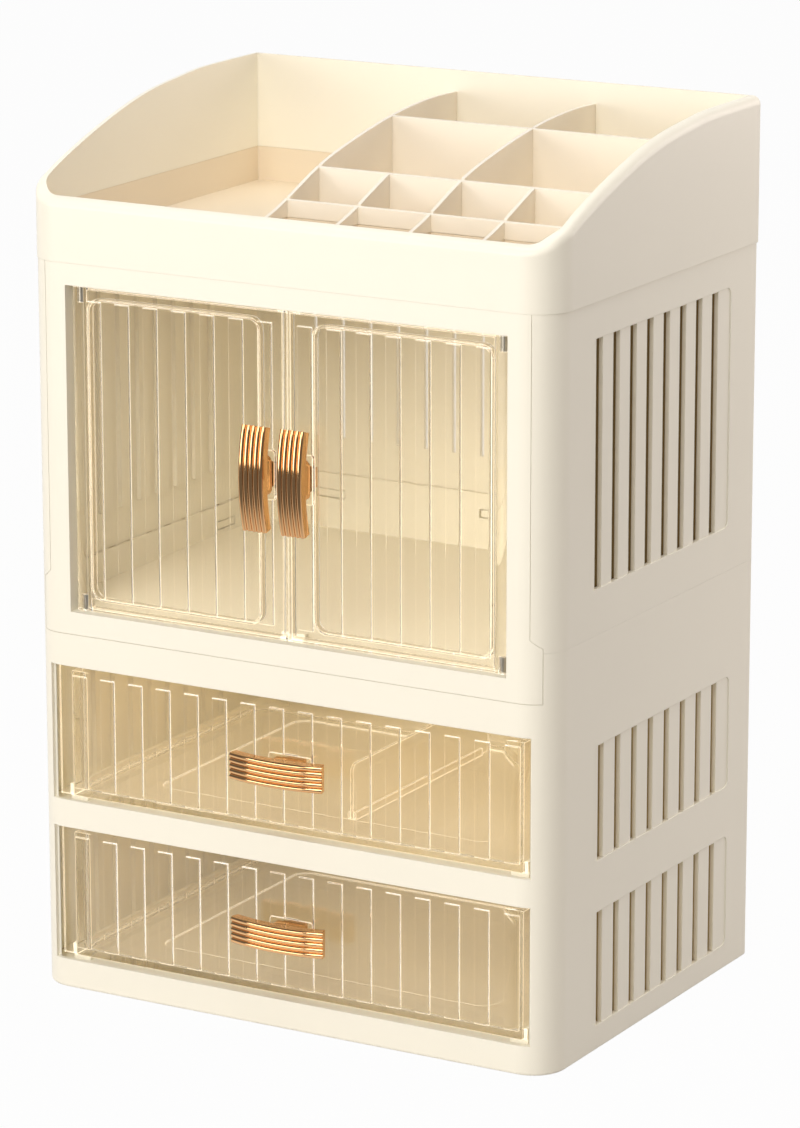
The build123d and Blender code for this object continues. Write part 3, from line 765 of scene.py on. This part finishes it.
def loft(made: bmesh.types.BMesh, loops: list[list[Vector]]) -> None:
    """Skins loops of equal length and closes both ends.

    Args:
        made: Mesh to add to.
        loops: Rings of points, from front to back.
    """
    rings = [[made.verts.new(point) for point in loop] for loop in loops]
    count = len(rings[0])
    faces = [made.faces.new(rings[0]), made.faces.new(list(reversed(rings[-1])))]
    for near, far in zip(rings, rings[1:]):
        for place in range(count):
            after = (place + 1) % count
            faces.append(made.faces.new((near[place], far[place], far[after], near[after])))
    bmesh.ops.recalc_face_normals(made, faces=faces)


def grown_mesh(tree: bpy.types.NodeTree, values: dict[str, object]) -> bpy.types.Mesh:
    """Runs a geometry tree and returns its result as a plain mesh.

    Args:
        tree: The geometry node tree.
        values: Value of each named input.

    Returns:
        The mesh, with the modifier gone.
    """
    carrier = bpy.data.objects.new("carrier", bpy.data.meshes.new("carrier"))
    bpy.context.scene.collection.objects.link(carrier)
    modifier = carrier.modifiers.new("grow", "NODES")
    modifier.node_group = tree
    for item in tree.interface.items_tree:
        if item.item_type == "SOCKET" and item.in_out == "INPUT" and item.name in values:
            modifier[item.identifier] = values[item.name]
    ready = carrier.evaluated_get(bpy.context.evaluated_depsgraph_get())
    mesh = bpy.data.meshes.new_from_object(ready)
    carrier.modifiers.clear()
    bpy.data.objects.remove(carrier)
    return mesh


def finish_piece(made: bmesh.types.BMesh, name: str, body: str, finish: bpy.types.Material,
                 replaced: str) -> bpy.types.Object:
    """Turns a mesh under construction into a piece that rides on a body.

    Args:
        made: The mesh, in place.
        name: Name of the piece.
        body: Body that it moves with.
        finish: Its material.
        replaced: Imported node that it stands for.

    Returns:
        The piece.
    """
    mesh = bpy.data.meshes.new(name)
    made.to_mesh(mesh)
    made.free()
    mesh.materials.clear()
    mesh.materials.append(finish)
    mesh.set_sharp_from_angle(angle=math.radians(SHARP_ANGLE))
    piece = bpy.data.objects.new(name, mesh)
    bpy.context.scene.collection.objects.link(piece)
    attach(piece, body)
    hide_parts(replaced)
    log.info("%s: %d faces on %s", name, len(mesh.polygons), body)
    return piece


@dataclass
class Pulls:
    """The four pull handles and the clips behind them."""

    handles: list[PullHandle] = field(default_factory=lambda: [
        PullHandle("left_door", upright=True), PullHandle("right_door", upright=True),
        PullHandle("lower_drawer", upright=False), PullHandle("upper_drawer", upright=False)])

    def build(self) -> None:
        """Builds each handle and dresses each clip."""
        for handle in self.handles:
            handle.build()
            dress(f"{handle.body}_handle_clip", Finish.COPPER)


@dataclass(frozen=True)
class Lamp:
    """A soft lamp box that looks at a point. One inside the case is not seen in gloss or glass."""

    name: str
    place: Point
    size: tuple[float, float]
    power: float
    colour: Colour = (1.0, 0.98, 0.94)
    aim: Point = (0.0, 0.0, 0.24)
    inside: bool = False

    def build(self) -> None:
        """Adds the lamp."""
        data = bpy.data.lights.new(self.name, "AREA")
        data.shape = "RECTANGLE"
        data.size, data.size_y = self.size
        data.energy = self.power
        data.color = self.colour
        lamp = bpy.data.objects.new(self.name, data)
        lamp.location = self.place
        lamp.visible_camera = False
        lamp.visible_glossy = lamp.visible_transmission = not self.inside
        towards = Vector(self.aim) - Vector(self.place)
        lamp.rotation_euler = towards.to_track_quat("-Z", "Y").to_euler()
        bpy.context.scene.collection.objects.link(lamp)


@dataclass
class Studio:
    """Floor, surroundings, lamps and the camera at the photograph's place."""

    camera_place: Point = (1.23643, -2.14483, 0.8566)
    camera_pitch: float = 14.468
    camera_yaw: float = 29.904
    camera_roll: float = -0.081
    lens: float = 159.27
    floor_half: float = 6.0
    floor_glow: float = 0.97
    ambient: float = 0.30
    ambient_colour: Colour = (1.0, 0.90, 0.86)
    room: float = 0.16
    room_colour: Colour = (1.0, 0.96, 0.93)
    room_size: tuple[float, float] = (0.24, 0.17)
    lamps: tuple[Lamp, ...] = (
        Lamp("key", (0.25, -2.4, 1.6), (1.4, 1.4), 32.0),
        Lamp("top", (0.1, 0.1, 2.3), (1.6, 1.6), 18.5),
        Lamp("strip", (-1.35, -2.55, 0.50), (1.9, 0.96), 27.0),
        Lamp("fill", (0.62, 0.75, 0.55), (0.5, 0.5), 2.6, (1.0, 0.90, 0.84)),
    )
    drawer_rooms: tuple[tuple[str, float, float], ...] = (
        ("upper_room", 0.190, 0.042),
        ("lower_room", 0.094, 0.012),
    )

    def build(self) -> None:
        """Sets up everything around the object."""
        self.build_camera()
        self.build_floor()
        self.build_world()
        for lamp in self.lamps:
            lamp.build()
        for name, height, power in self.drawer_rooms:
            Lamp(name, (0.0, 0.0, height), self.room_size, power, self.room_colour, (0.0, 0.0, 0.0),
                 inside=True).build()

    def build_camera(self) -> None:
        """Places the camera where the photograph was taken from."""
        data = bpy.data.cameras.new("camera")
        data.sensor_fit = "VERTICAL"
        data.sensor_height = 36.0
        data.lens = self.lens
        data.clip_end = 30.0
        camera = bpy.data.objects.new("camera", data)
        turn = Matrix.Rotation(math.radians(self.camera_yaw), 4, "Z")
        turn @= Matrix.Rotation(math.radians(90 - self.camera_pitch), 4, "X")
        turn @= Matrix.Rotation(math.radians(self.camera_roll), 4, "Z")
        camera.matrix_world = Matrix.Translation(self.camera_place) @ turn
        bpy.context.scene.collection.objects.link(camera)
        bpy.context.scene.camera = camera

    def build_floor(self) -> None:
        """Adds a pale floor that keeps a faint shadow."""
        half = self.floor_half
        mesh = bpy.data.meshes.new("floor")
        corners = [(-half, -half, 0), (half, -half, 0), (half, half, 0), (-half, half, 0)]
        mesh.from_pydata(corners, [], [(0, 1, 2, 3)])
        floor = bpy.data.objects.new("floor", mesh)
        bpy.context.scene.collection.objects.link(floor)
        material, wiring, shader, output = blank_material("pale_floor")
        wiring.feed(shader.inputs["Base Color"], (0.56, 0.54, 0.52, 1.0))
        wiring.feed(shader.inputs["Roughness"], 0.9)
        wiring.feed(shader.inputs["Specular IOR Level"], 0.0)
        apart = wiring.node("ShaderNodeSeparateXYZ")
        wiring.feed(apart.inputs[0], wiring.node("ShaderNodeTexCoord").outputs["Object"])
        level = wiring.ramp(apart.outputs["Y"], -0.7, -0.2, self.room, 1.0)
        seen, strength = self.backdrop_light(wiring, level)
        glow = wiring.node("ShaderNodeEmission")
        wiring.feed(glow.inputs["Color"], (1.0, 1.0, 1.0, 1.0))
        wiring.feed(glow.inputs["Strength"], strength)
        either = wiring.node("ShaderNodeMixShader")
        wiring.feed(either.inputs[0], wiring.maths("MULTIPLY", seen, self.floor_glow))
        wiring.feed(either.inputs[1], shader.outputs["BSDF"])
        wiring.feed(either.inputs[2], glow.outputs[0])
        wiring.feed(output.inputs["Surface"], either.outputs[0])
        mesh.materials.append(material)

    @staticmethod
    def backdrop_light(wiring: Wiring,
                       level: bpy.types.NodeSocket) -> tuple[bpy.types.NodeSocket, bpy.types.NodeSocket]:
        """Share and strength of the white backdrop for what the camera, gloss and glass see.

        Args:
            wiring: Tree of the floor or the world.
            level: How bright gloss sees it, which falls off to the dim room in front.

        Returns:
            The share, 1 for such rays, and the strength.
        """
        path = wiring.node("ShaderNodeLightPath").outputs
        seen = wiring.maths("MAXIMUM", path["Is Camera Ray"], path["Is Glossy Ray"])
        seen = wiring.maths("MAXIMUM", seen, path["Is Transmission Ray"])
        dimmed = wiring.maths("MULTIPLY", path["Is Glossy Ray"], wiring.maths("SUBTRACT", level, 1.0))
        return seen, wiring.maths("ADD", dimmed, 1.0)

    def build_world(self) -> None:
        """White surroundings that light the object at a plain level."""
        world = bpy.data.worlds.new("studio")
        world.use_nodes = True
        world.node_tree.nodes.clear()
        bpy.context.scene.world = world
        wiring = Wiring(world.node_tree)
        apart = wiring.node("ShaderNodeSeparateXYZ")
        wiring.feed(apart.inputs[0], wiring.node("ShaderNodeTexCoord").outputs["Generated"])
        level = wiring.ramp(apart.outputs["Y"], -0.35, 0.25, self.room, 1.0)
        seen, strength = self.backdrop_light(wiring, level)
        light = wiring.node("ShaderNodeBackground")
        wiring.feed(light.inputs["Color"], (*self.ambient_colour, 1.0))
        wiring.feed(light.inputs["Strength"], self.ambient)
        white = wiring.node("ShaderNodeBackground")
        wiring.feed(white.inputs["Color"], (1.0, 1.0, 1.0, 1.0))
        wiring.feed(white.inputs["Strength"], strength)
        either = wiring.node("ShaderNodeMixShader")
        wiring.feed(either.inputs[0], seen)
        wiring.feed(either.inputs[1], light.outputs[0])
        wiring.feed(either.inputs[2], white.outputs[0])
        wiring.feed(wiring.node("ShaderNodeOutputWorld").inputs["Surface"], either.outputs[0])


def main() -> None:
    """Builds the organizer's looks."""
    logging.basicConfig(level=logging.INFO, format="%(message)s")
    scene = bpy.context.scene
    scene.view_settings.view_transform = "Standard"
    scene.cycles.transparent_max_bounces = 32
    scene.cycles.max_bounces = scene.cycles.transmission_bounces = 24
    scene.cycles.diffuse_bounces = 8
    Studio().build()
    Housing().build()
    ClearFronts().build()
    Pulls().build()
    bpy.context.view_layer.update()


if __name__ == "__main__":
    main()
